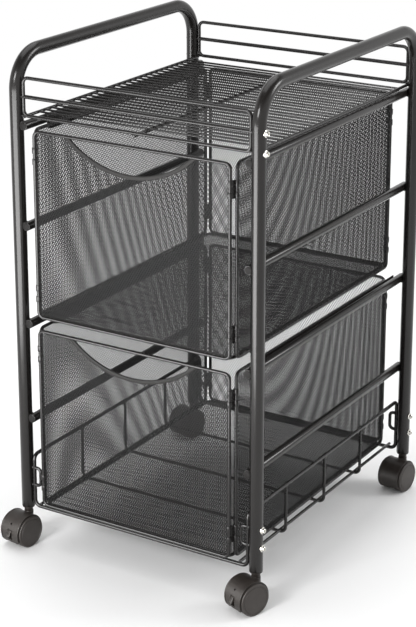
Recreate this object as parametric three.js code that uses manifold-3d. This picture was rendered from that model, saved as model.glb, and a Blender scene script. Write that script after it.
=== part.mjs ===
// Mobile file cart: two bent-tube side hoops carry a wire top shelf, a wire bottom rack
// and two mesh file drawers that hang on runners, on four twin-wheel swivel casters.
// Millimetres, +Z up, the front faces -Y, the origin is on the floor under the middle.
import * as THREE from "three";
import { mergeVertices } from "three/addons/utils/BufferGeometryUtils.js";
import Module from "manifold-3d";

const wasm = await Module();
wasm.setup();

// Clearances
const touchGap = 0.3; // between pieces that rest on or butt against each other
const slideGap = 0.4; // between pieces that slide on each other
const weldSink = 0.3; // how far one welded wire sinks into the next

// Side hoops and their bars
const legSpacingX = 382;
const legSpacingY = 451;
const overallHeight = 731.7;
const legDiameter = 19;
const legWall = 0.9;
const legEndHeight = 55.2; // the open lower end of each leg above the floor
const legBoreDepth = 45;
const hoopBendRadius = 50;
const barDiameter = 12.7;
const barInset = 12.8; // bar axis inwards from the leg axis
const barOverrun = 4; // bar end past the leg axis
const topBarDrop = 107; // top bar axis under the top of the hoop

// Top shelf
const guardWire = 5;
const guardMidWire = 5.5;
const guardStub = 4.2; // short rods that meet the legs at the lower corners
const guardRise = 53; // top rail over the bottom rail
const guardCornerRadius = 12;
const deckWire = 3;
const deckWireCount = 28;
const deckWirePitch = 14.2;
const deckEndInset = 8; // cross wires' ends inwards from the leg axis
const supportWire = 4.5;
const supportOverhang = 19; // support wires' ends past the outermost cross wires

// Bottom rack
const rackWire = 5.5;
const rackCrossWire = 4.5;
const rackFloorLift = 2.5; // ring's low wire above the leg ends
const rackRise = 79; // ring's high wire above its low wire
const rackBendRadius = 12;
const rackCrossSpacing = 113;
const rackRunnerInset = 24; // lower front-to-back wires inwards from the leg axis
const stapleWire = 5;
const stapleRises = [32.2, 58.8]; // above the ring's low wire
const stapleDepth = 23.5; // bight inwards from the leg axis
const stapleBendRadius = 6;

// Drawers
const drawerSpacing = 15; // gap between the upper and the lower drawer
const drawerDrop = 0; // drawer top under its bar's axis
const drawerLift = 8; // lower drawer's bottom above the rack's low wire
const frameWire = 5;
const meshThickness = 1.2;
const gridPitch = 85; // of the coarse openings that stand for the fine mesh
const gridRib = 18;
const panelCornerRadius = 8;
const frontFrameInset = 4.5; // front and back frames' wire axis inwards from the side frames'
const sidePanelInset = 31.5; // wire axis inwards from the leg axis
const frontPanelLead = 10.5; // front frame ahead of the leg axis
const backPanelInset = 6.5; // back frame inside the rear leg axis
const sideFrontSetback = 9.5; // side frame behind the front frame
const sideBackSetback = 6; // side frame ahead of the back frame
const gripFromCorner = 53; // finger opening's ends inwards from the frame's uprights
const gripDepth = 41;
const gripWire = 4.4;
const clipHeight = 25;
const clipThickness = 2.4;
const clipFromEdge = 22;

// Drawer runners
const runnerSheet = 1.4;
const runnerFlangeRise = 6; // mounting flange above the bar axis
const runnerLipClearance = 1.2; // lip edge to the drawer's frame wire
const runnerFrontInset = 42; // runner end behind the front leg axis
const runnerBackInset = 11; // runner end inside the rear leg axis
const glideHeight = 7;
const glideFrontInset = 45; // glide's front end behind the side frame's
const glideBackInset = 3; // glide's back end inside the side frame's

// Casters
const wheelRadius = 23.2;
const wheelWidth = 14;
const wheelEdge = 1.2;
const wheelCrown = 0.8; // dome of the outer face
const hubGap = 0.4; // web to wheel, on each side
const webThickness = 8.2;
const casterTrail = 16;
const hoodClearance = 0.5; // wheel to the inside of the hood
const hoodWall = 1.6;
const hoodFrontDrop = THREE.MathUtils.degToRad(-35); // lower front edge, seen from the axle
const hoodBackDrop = THREE.MathUtils.degToRad(190); // lower back edge
const neckLength = 5;
const neckRadius = 6.2;
const plugSkirt = 3; // tapered collar under the leg
const plugDepth = 32;
const pinRadius = 3.4;
const pinLength = 13.3;
const bossRadius = 6.6;
const axleRadius = 2;
const axleFit = 0.3;
const brakePivot = new THREE.Vector2(18.4, 5.5); // ahead of and above the axle
const brakeBossRadius = 3;
const brakeWidth = 7;
const brakeTabReach = 10.5;
const brakeTabDip = 3; // tab's end under its pivot
const brakeTravelRoom = 5.5;
const casterTurns = {
  left_front: THREE.MathUtils.degToRad(-8),
  right_front: THREE.MathUtils.degToRad(-21),
  right_rear: THREE.MathUtils.degToRad(-6),
  left_rear: THREE.MathUtils.degToRad(-12),
};

// Facet counts
const tubeSides = 16;
const barSides = 12;
const wireSides = 6;
const ringSides = 8;
const wheelSides = 18;
const turnedSides = 12;
const hoopBendSteps = 6;
const wireBendSteps = 2;

// Places worked out from the sizes above
const legX = legSpacingX / 2;
const legY = legSpacingY / 2;
const legRadius = legDiameter / 2;
const legInnerX = legX - legRadius - touchGap;
const hoopTopHeight = overallHeight - legRadius;
const barX = legX - barInset;
const barRadius = barDiameter / 2;
const topBarHeight = overallHeight - topBarDrop;
const rackFloorHeight = legEndHeight + rackFloorLift;
const rackTopHeight = rackFloorHeight + rackRise;
const stapleHeights = stapleRises.map((rise) => rackFloorHeight + rise);
const barPitch = (topBarHeight - drawerDrop + drawerSpacing - rackFloorHeight - drawerLift) / 4;
const barHeights = [0, 1, 2, 3].map((row) => topBarHeight - row * barPitch);
const supportHeight = topBarHeight + barRadius + touchGap + supportWire / 2;
const deckHeight = supportHeight + (supportWire + deckWire) / 2 - weldSink;
const guardHeight = supportHeight + (supportWire + guardWire) / 2 + touchGap;
const sideX = legX - sidePanelInset;
const frontY = -legY - frontPanelLead;
const backY = legY - backPanelInset;
const sideFrontY = frontY + sideFrontSetback;
const sideBackY = backY - sideBackSetback;
const frontFrameWidth = 2 * (sideX - frontFrameInset);
const drawerHeight = 2 * barPitch - drawerSpacing;
const frameHeight = drawerHeight - frameWire;

// One paint or plastic per kind of piece
const coatedTube = () => new THREE.MeshStandardMaterial({ color: 0x37343a, roughness: 0.4, metalness: 0.35 });
const coatedWire = () => new THREE.MeshStandardMaterial({ color: 0x2b292c, roughness: 0.45, metalness: 0.35 });
const coatedMesh = () => new THREE.MeshStandardMaterial({ color: 0x262427, roughness: 0.55, metalness: 0.3 });
const casterPlastic = () => new THREE.MeshStandardMaterial({ color: 0x3b3836, roughness: 0.55, metalness: 0 });
const wheelPlastic = () => new THREE.MeshStandardMaterial({ color: 0x45423f, roughness: 0.6, metalness: 0 });
const platedSteel = () => new THREE.MeshStandardMaterial({ color: 0xb9b7b0, roughness: 0.3, metalness: 1 });

const cart = new THREE.Group();

// Booleans on closed geometry
function solidOf(geometry) {
  const bare = geometry.clone();
  bare.deleteAttribute("normal");
  bare.deleteAttribute("uv");
  const merged = mergeVertices(bare, 1e-4);
  const vertProperties = new Float32Array(merged.attributes.position.array);
  const triVerts = new Uint32Array(merged.index.array);
  return new wasm.Manifold(new wasm.Mesh({ numProp: 3, vertProperties, triVerts }));
}

function geometryOf(solid) {
  const mesh = solid.getMesh();
  const geometry = new THREE.BufferGeometry();
  geometry.setAttribute("position", new THREE.BufferAttribute(mesh.vertProperties, 3));
  geometry.setIndex(new THREE.BufferAttribute(mesh.triVerts, 1));
  geometry.computeVertexNormals();
  return geometry;
}

function join(geometries) {
  return geometryOf(geometries.map(solidOf).reduce((whole, piece) => whole.add(piece)));
}

function cut(geometry, tools) {
  return geometryOf(tools.map(solidOf).reduce((whole, tool) => whole.subtract(tool), solidOf(geometry)));
}

// A bent wire's axis: the corners of its path, each turned into an arc
function bentPath(corners, bendRadius, steps, closed = false) {
  const points = [];
  corners.forEach((corner, index) => {
    const isEnd = !closed && (index === 0 || index === corners.length - 1);
    if (isEnd) {
      points.push(corner.clone());
      return;
    }
    const before = corners[(index + corners.length - 1) % corners.length];
    const after = corners[(index + 1) % corners.length];
    const inward = before.clone().sub(corner).normalize();
    const outward = after.clone().sub(corner).normalize();
    const halfAngle = inward.angleTo(outward) / 2;
    const bisector = inward.clone().add(outward).normalize();
    const centre = corner.clone().addScaledVector(bisector, bendRadius / Math.sin(halfAngle));
    const start = corner.clone().addScaledVector(inward, bendRadius / Math.tan(halfAngle)).sub(centre);
    const turnAxis = new THREE.Vector3().crossVectors(outward, inward).normalize();
    const turn = Math.PI - 2 * halfAngle;
    for (let step = 0; step <= steps; step++) {
      const spoke = start.clone().applyAxisAngle(turnAxis, (turn * step) / steps);
      points.push(spoke.add(centre));
    }
  });
  return points;
}

// A round bar swept along points, either with two flat ends or closed on itself
function sweep(points, diameter, sides, closed = false) {
  const count = points.length;
  const tangents = points.map((point, index) => {
    const before = closed ? points[(index + count - 1) % count] : points[Math.max(index - 1, 0)];
    const after = closed ? points[(index + 1) % count] : points[Math.min(index + 1, count - 1)];
    const arriving = point.clone().sub(before).normalize();
    const leaving = after.clone().sub(point).normalize();
    return arriving.add(leaving).normalize();
  });
  const upright = Math.abs(tangents[0].z) > 0.9;
  const reference = upright ? new THREE.Vector3(1, 0, 0) : new THREE.Vector3(0, 0, 1);
  const normal = reference.addScaledVector(tangents[0], -reference.dot(tangents[0])).normalize();
  const normals = [normal.clone()];
  const roll = new THREE.Quaternion();
  for (let index = 1; index <= count; index++) {
    roll.setFromUnitVectors(tangents[index - 1], tangents[index % count]);
    normal.applyQuaternion(roll);
    normals.push(normal.clone());
  }
  const side = new THREE.Vector3().crossVectors(tangents[0], normals[0]);
  const twist = closed ? Math.atan2(normals[count].dot(side), normals[count].dot(normals[0])) : 0;
  const positions = [];
  points.forEach((point, index) => {
    const across = normals[index].clone().applyAxisAngle(tangents[index], (-twist * index) / count);
    for (let corner = 0; corner < sides; corner++) {
      const angle = (2 * Math.PI * corner) / sides;
      const spoke = across.clone().applyAxisAngle(tangents[index], angle);
      positions.push(...spoke.multiplyScalar(diameter / 2).add(point).toArray());
    }
  });
  const faces = [];
  const rings = closed ? count : count - 1;
  for (let ring = 0; ring < rings; ring++) {
    for (let corner = 0; corner < sides; corner++) {
      const next = (corner + 1) % sides;
      const near = ring * sides;
      const far = ((ring + 1) % count) * sides;
      faces.push(near + corner, near + next, far + next);
      faces.push(near + corner, far + next, far + corner);
    }
  }
  if (!closed) {
    const last = (count - 1) * sides;
    for (let corner = 1; corner < sides - 1; corner++) {
      faces.push(0, corner + 1, corner);
      faces.push(last, last + corner, last + corner + 1);
    }
  }
  const geometry = new THREE.BufferGeometry();
  geometry.setAttribute("position", new THREE.Float32BufferAttribute(positions, 3));
  geometry.setIndex(faces);
  geometry.computeVertexNormals();
  return geometry;
}

function straightWire(from, to, diameter, sides = wireSides) {
  return sweep([new THREE.Vector3(...from), new THREE.Vector3(...to)], diameter, sides);
}

function uprightCylinder(radius, bottom, top, x, y, sides) {
  const geometry = new THREE.CylinderGeometry(radius, radius, top - bottom, sides);
  geometry.rotateX(Math.PI / 2);
  return geometry.translate(x, y, (bottom + top) / 2);
}

function addMesh(parent, name, geometry, material) {
  const mesh = new THREE.Mesh(geometry, material);
  mesh.name = name;
  parent.add(mesh);
  return mesh;
}

// Side hoop: one tube bent into legs and handle, with a bored socket in each leg end
function hoopGeometry(x) {
  const corners = [
    new THREE.Vector3(x, -legY, legEndHeight),
    new THREE.Vector3(x, -legY, hoopTopHeight),
    new THREE.Vector3(x, legY, hoopTopHeight),
    new THREE.Vector3(x, legY, legEndHeight),
  ];
  const tube = sweep(bentPath(corners, hoopBendRadius, hoopBendSteps), legDiameter, tubeSides);
  const bores = [-legY, legY].map((y) =>
    uprightCylinder(legRadius - legWall, legEndHeight - 1, legEndHeight + legBoreDepth, x, y, turnedSides),
  );
  return cut(tube, bores);
}

// Cross bar: a thinner tube lapped on the inner side of both legs, saddled to fit them
function barGeometry(side, height) {
  const reach = legY + barOverrun;
  const bar = straightWire([side * barX, -reach, height], [side * barX, reach, height], barDiameter, barSides);
  const saddles = [-legY, legY].map((y) =>
    uprightCylinder(legRadius + touchGap, height - barDiameter, height + barDiameter, side * legX, y, tubeSides),
  );
  return cut(bar, saddles);
}

for (const [sideName, side] of [["left", -1], ["right", 1]]) {
  addMesh(cart, `${sideName}_hoop`, hoopGeometry(side * legX), coatedTube());
  ["top", "upper", "middle", "lower"].forEach((rowName, row) => {
    addMesh(cart, `${sideName}_${rowName}_bar`, barGeometry(side, barHeights[row]), coatedTube());
  });
}

// Shelf deck: cross wires welded on three front-to-back supports, the outer two along the top bars
function deckGeometry() {
  const halfWidth = legX - deckEndInset;
  const halfDepth = ((deckWireCount - 1) * deckWirePitch) / 2;
  const reach = halfDepth + supportOverhang;
  const pieces = [-1, 0, 1].map((place) => {
    const x = place * barX;
    return straightWire([x, -reach, supportHeight], [x, reach, supportHeight], supportWire);
  });
  for (let row = 0; row < deckWireCount; row++) {
    const y = row * deckWirePitch - halfDepth;
    pieces.push(straightWire([-halfWidth, y, deckHeight], [halfWidth, y, deckHeight], deckWire));
  }
  return join(pieces);
}

// Shelf guard: a closed rail between two legs with a heavier middle rod
function guardGeometry(y) {
  const halfWidth = legInnerX - guardWire / 2;
  const corners = [
    new THREE.Vector3(-halfWidth, y, guardHeight),
    new THREE.Vector3(halfWidth, y, guardHeight),
    new THREE.Vector3(halfWidth, y, guardHeight + guardRise),
    new THREE.Vector3(-halfWidth, y, guardHeight + guardRise),
  ];
  const rail = sweep(bentPath(corners, guardCornerRadius, wireBendSteps, true), guardWire, ringSides, true);
  const middle = guardHeight + guardRise / 2;
  const rod = straightWire([-legInnerX, y, middle], [legInnerX, y, middle], guardMidWire, ringSides);
  const stubs = [-1, 1].map((side) => {
    const inner = side * (halfWidth - 2 * guardCornerRadius);
    return straightWire([inner, y, guardHeight], [side * legInnerX, y, guardHeight], guardStub, ringSides);
  });
  return join([rail, rod, ...stubs]);
}

addMesh(cart, "shelf_deck", deckGeometry(), coatedWire());
addMesh(cart, "shelf_front_guard", guardGeometry(-legY), coatedWire());
addMesh(cart, "shelf_rear_guard", guardGeometry(legY), coatedWire());

// Bottom rack: a saddle-shaped ring, three cradle wires, two runners and a staple at each leg
function rackGeometry() {
  const ringX = legInnerX - rackWire / 2;
  const ringCorners = [
    new THREE.Vector3(-ringX, -legY, rackFloorHeight),
    new THREE.Vector3(ringX, -legY, rackFloorHeight),
    new THREE.Vector3(ringX, -legY, rackTopHeight),
    new THREE.Vector3(ringX, legY, rackTopHeight),
    new THREE.Vector3(ringX, legY, rackFloorHeight),
    new THREE.Vector3(-ringX, legY, rackFloorHeight),
    new THREE.Vector3(-ringX, legY, rackTopHeight),
    new THREE.Vector3(-ringX, -legY, rackTopHeight),
  ];
  const pieces = [sweep(bentPath(ringCorners, rackBendRadius, wireBendSteps, true), rackWire, ringSides, true)];
  const runnerHeight = rackFloorHeight + (rackWire + rackCrossWire) / 2 - weldSink;
  const cradleHeight = runnerHeight - rackCrossWire + weldSink;
  const cradleX = ringX - (rackWire + rackCrossWire) / 2 + weldSink;
  for (const y of [-rackCrossSpacing, 0, rackCrossSpacing]) {
    const corners = [
      new THREE.Vector3(-cradleX, y, rackTopHeight),
      new THREE.Vector3(-cradleX, y, cradleHeight),
      new THREE.Vector3(cradleX, y, cradleHeight),
      new THREE.Vector3(cradleX, y, rackTopHeight),
    ];
    pieces.push(sweep(bentPath(corners, rackBendRadius, wireBendSteps), rackCrossWire, wireSides));
  }
  for (const side of [-1, 1]) {
    const x = side * (legX - rackRunnerInset);
    const reach = legY + rackWire / 2;
    pieces.push(straightWire([x, -reach, runnerHeight], [x, reach, runnerHeight], rackCrossWire));
    for (const y of [-legY, legY]) {
      const bightX = side * (legX - stapleDepth);
      const corners = [
        new THREE.Vector3(side * legInnerX, y, stapleHeights[0]),
        new THREE.Vector3(bightX, y, stapleHeights[0]),
        new THREE.Vector3(bightX, y, stapleHeights[1]),
        new THREE.Vector3(side * legInnerX, y, stapleHeights[1]),
      ];
      pieces.push(sweep(bentPath(corners, stapleBendRadius, wireBendSteps), stapleWire, wireSides));
    }
  }
  return join(pieces);
}

addMesh(cart, "bottom_rack", rackGeometry(), coatedWire());

// Drawer panel in its own plane: a rounded wire frame with mesh welded in its middle
function roundedRectangle(width, height, radius) {
  const x = width / 2;
  const y = height / 2;
  const shape = new THREE.Shape();
  shape.absarc(x - radius, y - radius, radius, 0, Math.PI / 2);
  shape.absarc(-x + radius, y - radius, radius, Math.PI / 2, Math.PI);
  shape.absarc(-x + radius, -y + radius, radius, Math.PI, 1.5 * Math.PI);
  shape.absarc(x - radius, -y + radius, radius, 1.5 * Math.PI, 2 * Math.PI);
  return shape;
}

function meshSheet(shape) {
  const settings = { depth: meshThickness, bevelEnabled: false, curveSegments: wireBendSteps };
  return new THREE.ExtrudeGeometry(shape, settings).translate(0, 0, -meshThickness / 2);
}

function panelFrame(width, height) {
  const corners = [
    new THREE.Vector3(-width / 2, -height / 2, 0),
    new THREE.Vector3(width / 2, -height / 2, 0),
    new THREE.Vector3(width / 2, height / 2, 0),
    new THREE.Vector3(-width / 2, height / 2, 0),
  ];
  return sweep(bentPath(corners, panelCornerRadius, wireBendSteps, true), frameWire, wireSides, true);
}

function closedPanel(width, height) {
  return join([panelFrame(width, height), meshSheet(roundedRectangle(width, height, panelCornerRadius))]);
}

// Open panel: the same, with an even grid of openings, each narrower than its share by one rib
function openPanel(width, height) {
  const columns = Math.round(width / gridPitch);
  const rows = Math.round(height / gridPitch);
  const openings = [];
  for (let column = 0; column < columns; column++) {
    for (let row = 0; row < rows; row++) {
      const x = width * ((column + 0.5) / columns - 0.5);
      const y = height * ((row + 0.5) / rows - 0.5);
      const opening = new THREE.BoxGeometry(width / columns - gridRib, height / rows - gridRib, 2 * meshThickness);
      openings.push(opening.translate(x, y, 0));
    }
  }
  const sheet = cut(meshSheet(roundedRectangle(width, height, panelCornerRadius)), openings);
  return join([panelFrame(width, height), sheet]);
}

// Finger opening: an arc that hangs from the front's top wire, as points over an equal angle each way
function gripArc(width, height) {
  const halfGrip = width / 2 - gripFromCorner;
  const radius = (halfGrip ** 2 + gripDepth ** 2) / (2 * gripDepth);
  return { radius, angle: Math.asin(halfGrip / radius), centre: height / 2 - gripDepth + radius };
}

function arcPoints(radius, angle, steps, centre) {
  const points = [];
  for (let step = 0; step <= steps; step++) {
    const turn = angle * ((2 * step) / steps - 1);
    points.push(new THREE.Vector3(radius * Math.sin(turn), centre - radius * Math.cos(turn), 0));
  }
  return points;
}

// Front panel: closed, and cut along straight lines that pass just under the finger opening's band
function frontPanel(width, height) {
  const arc = gripArc(width, height);
  const sides = 4;
  const clearRadius = (arc.radius + gripWire / 2 + touchGap) / Math.cos(arc.angle / sides);
  const corners = arcPoints(clearRadius, arc.angle, sides, arc.centre);
  const moon = new THREE.Shape(corners.map((point) => new THREE.Vector2(point.x, point.y)));
  moon.lineTo(corners[sides].x, height / 2 + frameWire);
  moon.lineTo(corners[0].x, height / 2 + frameWire);
  const opening = meshSheet(moon).scale(1, 1, 2);
  const sheet = cut(meshSheet(roundedRectangle(width, height, panelCornerRadius)), [opening]);
  return join([sheet, panelFrame(width, height)]);
}

// Band: the bent edge of the finger opening, whose ends stop under the front's top wire
function gripBand(width, height) {
  const arc = gripArc(width, height);
  const endDrop = frameWire / 2 + touchGap + (gripWire / 2) * Math.cos(arc.angle);
  const angle = Math.acos((arc.radius - gripDepth + endDrop) / arc.radius);
  return sweep(arcPoints(arc.radius, angle, 10, arc.centre), gripWire, wireSides);
}

// Corner clip: a short strap from a side frame's upright towards the neighbouring frame's upright
function cornerClip(x, y, alongDepth, alongWidth) {
  const span = Math.hypot(alongDepth, alongWidth) - frameWire / 2 - touchGap;
  const clip = new THREE.BoxGeometry(span, clipHeight, clipThickness);
  clip.translate(span / 2, 0, 0);
  clip.rotateY(-Math.atan2(alongWidth, alongDepth));
  return clip.translate(x, y, 0);
}

// Side panel: its plane runs front to back, and four clips reach inwards to the front and back frames
function sidePanel(length, height, side) {
  const towardsFrames = -side * frontFrameInset;
  const clipY = height / 2 - clipFromEdge - clipHeight / 2;
  const clips = [-clipY, clipY].flatMap((y) => [
    cornerClip(-length / 2, y, -sideFrontSetback, towardsFrames),
    cornerClip(length / 2, y, sideBackSetback, towardsFrames),
  ]);
  return join([openPanel(length, height), ...clips]);
}

// Glide: the bar along a drawer's side that slides in the runner
const glideInnerX = sideX + frameWire / 2 + touchGap;
const runnerWebX = barX - barRadius - touchGap - runnerSheet;
const glideOuterX = runnerWebX - slideGap;

function addDrawer(level, barHeight) {
  const drawer = new THREE.Group();
  const middle = barHeight - drawerDrop - drawerHeight / 2;
  cart.add(drawer);
  const front = addMesh(drawer, `${level}_drawer_front`, frontPanel(frontFrameWidth, frameHeight), coatedMesh());
  front.rotation.x = Math.PI / 2;
  front.position.set(0, frontY, middle);
  const grip = addMesh(drawer, `${level}_drawer_grip`, gripBand(frontFrameWidth, frameHeight), coatedWire());
  grip.rotation.x = Math.PI / 2;
  grip.position.set(0, frontY, middle);
  const back = addMesh(drawer, `${level}_drawer_back`, openPanel(frontFrameWidth, frameHeight), coatedMesh());
  back.rotation.x = Math.PI / 2;
  back.position.set(0, backY, middle);

  const sideLength = sideBackY - sideFrontY;
  const sideMiddle = (sideBackY + sideFrontY) / 2;
  const glideLength = sideLength - glideFrontInset - glideBackInset;
  const glideMiddle = sideMiddle + (glideFrontInset - glideBackInset) / 2;
  const glideTop = middle + frameHeight / 2;
  for (const [sideName, side] of [["left", -1], ["right", 1]]) {
    const panel = sidePanel(sideLength, frameHeight, side);
    const wall = addMesh(drawer, `${level}_drawer_${sideName}_side`, panel, coatedMesh());
    wall.rotation.set(Math.PI / 2, Math.PI / 2, 0);
    wall.position.set(side * sideX, sideMiddle, middle);
    const glideShape = new THREE.BoxGeometry(glideOuterX - glideInnerX, glideLength, glideHeight);
    const glide = addMesh(drawer, `${level}_drawer_${sideName}_glide`, glideShape, coatedTube());
    glide.position.set((side * (glideOuterX + glideInnerX)) / 2, glideMiddle, glideTop - glideHeight / 2);
  }

  const floorWidth = 2 * (sideX - frameWire - touchGap);
  const floorFront = frontY + frameWire + touchGap;
  const floorBack = backY - frameWire - touchGap;
  const floorShape = closedPanel(floorWidth, floorBack - floorFront);
  const floor = addMesh(drawer, `${level}_drawer_floor`, floorShape, coatedMesh());
  floor.position.set(0, (floorFront + floorBack) / 2, middle - frameHeight / 2);
}

// Runner: a formed channel that opens towards the drawer, with a flange against the bar
function runnerGeometry(side, barHeight) {
  const glideTop = barHeight - drawerDrop - frameWire / 2;
  const lipX = sideX + frameWire / 2 + runnerLipClearance;
  const webOuterX = runnerWebX + runnerSheet;
  const upperLip = glideTop + slideGap;
  const lowerLip = glideTop - glideHeight - slideGap;
  const outline = [
    [webOuterX, lowerLip - runnerSheet],
    [webOuterX, barHeight + runnerFlangeRise],
    [runnerWebX, barHeight + runnerFlangeRise],
    [runnerWebX, upperLip + runnerSheet],
    [lipX, upperLip + runnerSheet],
    [lipX, upperLip],
    [runnerWebX, upperLip],
    [runnerWebX, lowerLip],
    [lipX, lowerLip],
    [lipX, lowerLip - runnerSheet],
  ];
  const shape = new THREE.Shape(outline.map(([x, z]) => new THREE.Vector2(side * x, z)));
  const length = legSpacingY - runnerFrontInset - runnerBackInset;
  const channel = new THREE.ExtrudeGeometry(shape, { depth: length, bevelEnabled: false });
  channel.rotateX(Math.PI / 2);
  return channel.translate(0, legY - runnerBackInset, 0);
}

for (const [level, row] of [["upper", 0], ["lower", 2]]) {
  addDrawer(level, barHeights[row]);
  for (const [sideName, side] of [["left", -1], ["right", 1]]) {
    addMesh(cart, `${level}_${sideName}_runner`, runnerGeometry(side, barHeights[row]), coatedTube());
  }
}

// Caster, in a frame with the stem on Z, the axle along X and the wheels trailing towards -Y
const webHalf = webThickness / 2;
const wheelInner = webHalf + hubGap;
const casterHalfWidth = wheelInner + wheelWidth;
const pocketRadius = wheelRadius / Math.cos(Math.PI / wheelSides) + hoodClearance;
const hoodRadius = pocketRadius + hoodWall;
const hoodTop = legEndHeight - plugSkirt - neckLength;
const pinEnd = hoodTop - pinLength;

// Turns a side view (forwards, upwards) extruded across the caster into the caster's frame
function sideView(shape, width, curveSegments) {
  const settings = { depth: width, bevelEnabled: false, curveSegments };
  const geometry = new THREE.ExtrudeGeometry(shape, settings).translate(0, 0, -width / 2);
  const forwards = new THREE.Vector3(0, -1, 0);
  const upwards = new THREE.Vector3(0, 0, 1);
  const across = new THREE.Vector3(-1, 0, 0);
  geometry.applyMatrix4(new THREE.Matrix4().makeBasis(forwards, upwards, across));
  return geometry.translate(0, -casterTrail, wheelRadius);
}

function acrossCylinder(radius, from, to, sides) {
  const geometry = new THREE.CylinderGeometry(radius, radius, to - from, sides);
  geometry.rotateZ(Math.PI / 2);
  return geometry.translate((from + to) / 2, -casterTrail, wheelRadius);
}

// Hood: a barrel with a wheel pocket on each side of a web, and a boss that turns on the stem
function hoodGeometry(hasBrake) {
  const profile = new THREE.Shape();
  profile.absarc(0, 0, hoodRadius, hoodFrontDrop, hoodBackDrop);
  const barrel = sideView(profile, 2 * casterHalfWidth, wheelSides);
  const boss = uprightCylinder(bossRadius, wheelRadius, hoodTop, 0, 0, turnedSides);
  const outside = casterHalfWidth + hoodWall;
  const tools = [
    acrossCylinder(pocketRadius, webHalf, outside, wheelSides),
    acrossCylinder(pocketRadius, -outside, -webHalf, wheelSides),
    acrossCylinder(axleRadius + axleFit, -webHalf - 1, webHalf + 1, ringSides),
    uprightCylinder(pinRadius + axleFit, pinEnd - axleFit, hoodTop + 1, 0, 0, turnedSides),
  ];
  if (hasBrake) {
    const slot = new THREE.Shape();
    const back = brakePivot.x - brakeBossRadius - slideGap;
    const low = brakePivot.y - brakeBossRadius - brakeTravelRoom;
    const high = brakePivot.y + brakeBossRadius + slideGap;
    slot.moveTo(back, low);
    slot.lineTo(hoodRadius + hoodWall, low);
    slot.lineTo(hoodRadius + hoodWall, high);
    slot.lineTo(back, high);
    tools.push(sideView(slot, webThickness + slideGap, 1));
  }
  return cut(join([barrel, boss]), tools);
}

// Stem: a plug in the leg, a tapered collar under it, a neck and the pin that the hood turns on
function stemGeometry() {
  const collarRadius = legRadius - touchGap;
  const plugRadius = (legRadius - legWall) * Math.cos(Math.PI / turnedSides) - touchGap;
  const collarTop = legEndHeight - touchGap;
  const collarEnd = legEndHeight - plugSkirt;
  const profile = [
    [0, pinEnd],
    [pinRadius, pinEnd],
    [pinRadius, hoodTop + touchGap],
    [neckRadius, hoodTop + touchGap],
    [neckRadius, collarEnd],
    [0.75 * collarRadius, collarEnd],
    [collarRadius, (collarEnd + collarTop) / 2],
    [collarRadius, collarTop],
    [plugRadius, collarTop],
    [plugRadius, legEndHeight + plugDepth],
    [0, legEndHeight + plugDepth],
  ];
  const turned = new THREE.LatheGeometry(profile.map(([r, z]) => new THREE.Vector2(r, z)), turnedSides);
  return turned.rotateX(Math.PI / 2);
}

// Wheel: a plain tyre with a domed outer face and a blind bore, standing on one flat facet
function wheelGeometry(side) {
  const rim = wheelRadius / Math.cos(Math.PI / wheelSides);
  const boreEnd = 0.8 * wheelWidth;
  const profile = [
    [0, boreEnd],
    [axleRadius + axleFit, boreEnd],
    [axleRadius + axleFit, 0],
    [rim, 0],
    [rim, wheelWidth - wheelCrown - wheelEdge],
    [rim - wheelEdge, wheelWidth - wheelCrown],
    [0, wheelWidth],
  ];
  const outline = profile.map(([r, x]) => new THREE.Vector2(r, x));
  const wheel = new THREE.LatheGeometry(outline, wheelSides, Math.PI / wheelSides);
  wheel.translate(0, wheelInner, 0);
  wheel.rotateZ((-side * Math.PI) / 2);
  return wheel.translate(0, -casterTrail, wheelRadius);
}

// Brake lever: a foot tab on a pivot boss, in the slot at the front of the hood
function brakeGeometry() {
  const lever = new THREE.Shape();
  const tip = brakePivot.x + brakeTabReach;
  lever.absarc(brakePivot.x, brakePivot.y, brakeBossRadius, Math.PI / 2, 1.5 * Math.PI);
  lever.lineTo(tip, brakePivot.y - brakeTabDip - 0.5 * brakeBossRadius);
  lever.lineTo(tip, brakePivot.y - brakeTabDip + 0.5 * brakeBossRadius);
  return sideView(lever, brakeWidth, 4);
}

for (const [corner, turn] of Object.entries(casterTurns)) {
  const caster = new THREE.Group();
  const hasBrake = corner.endsWith("front");
  const x = corner.startsWith("left") ? -legX : legX;
  const y = hasBrake ? -legY : legY;
  caster.position.set(x, y, 0);
  cart.add(caster);
  addMesh(caster, `${corner}_stem`, stemGeometry(), casterPlastic());

  const swivel = new THREE.Group();
  swivel.rotation.z = turn;
  caster.add(swivel);
  const axleEnd = wheelInner + 0.75 * wheelWidth;
  addMesh(swivel, `${corner}_hood`, hoodGeometry(hasBrake), casterPlastic());
  addMesh(swivel, `${corner}_axle`, acrossCylinder(axleRadius, -axleEnd, axleEnd, ringSides), platedSteel());
  addMesh(swivel, `${corner}_left_wheel`, wheelGeometry(-1), wheelPlastic());
  addMesh(swivel, `${corner}_right_wheel`, wheelGeometry(1), wheelPlastic());
  if (hasBrake) {
    addMesh(swivel, `${corner}_brake`, brakeGeometry(), casterPlastic());
  }
}

// The origin is the middle of the cart's outline on the floor
const outline = new THREE.Box3().setFromObject(cart, true);
const middle = outline.getCenter(new THREE.Vector3());
cart.position.set(-middle.x, -middle.y, -outline.min.z);

const part = new THREE.Group();
part.add(cart);
export default part;
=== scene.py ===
# A mobile file cart in satin black steel, dressed over its solid model. The sections follow the
# cart as it is put together: side hoops, cross bars, top shelf, bottom rack, leg screws, runners,
# drawers and casters, and last the studio that it stands in. Metres, +Z up, the front faces -Y.
import math

import bmesh
import bpy
from mathutils import Matrix, Vector


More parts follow.
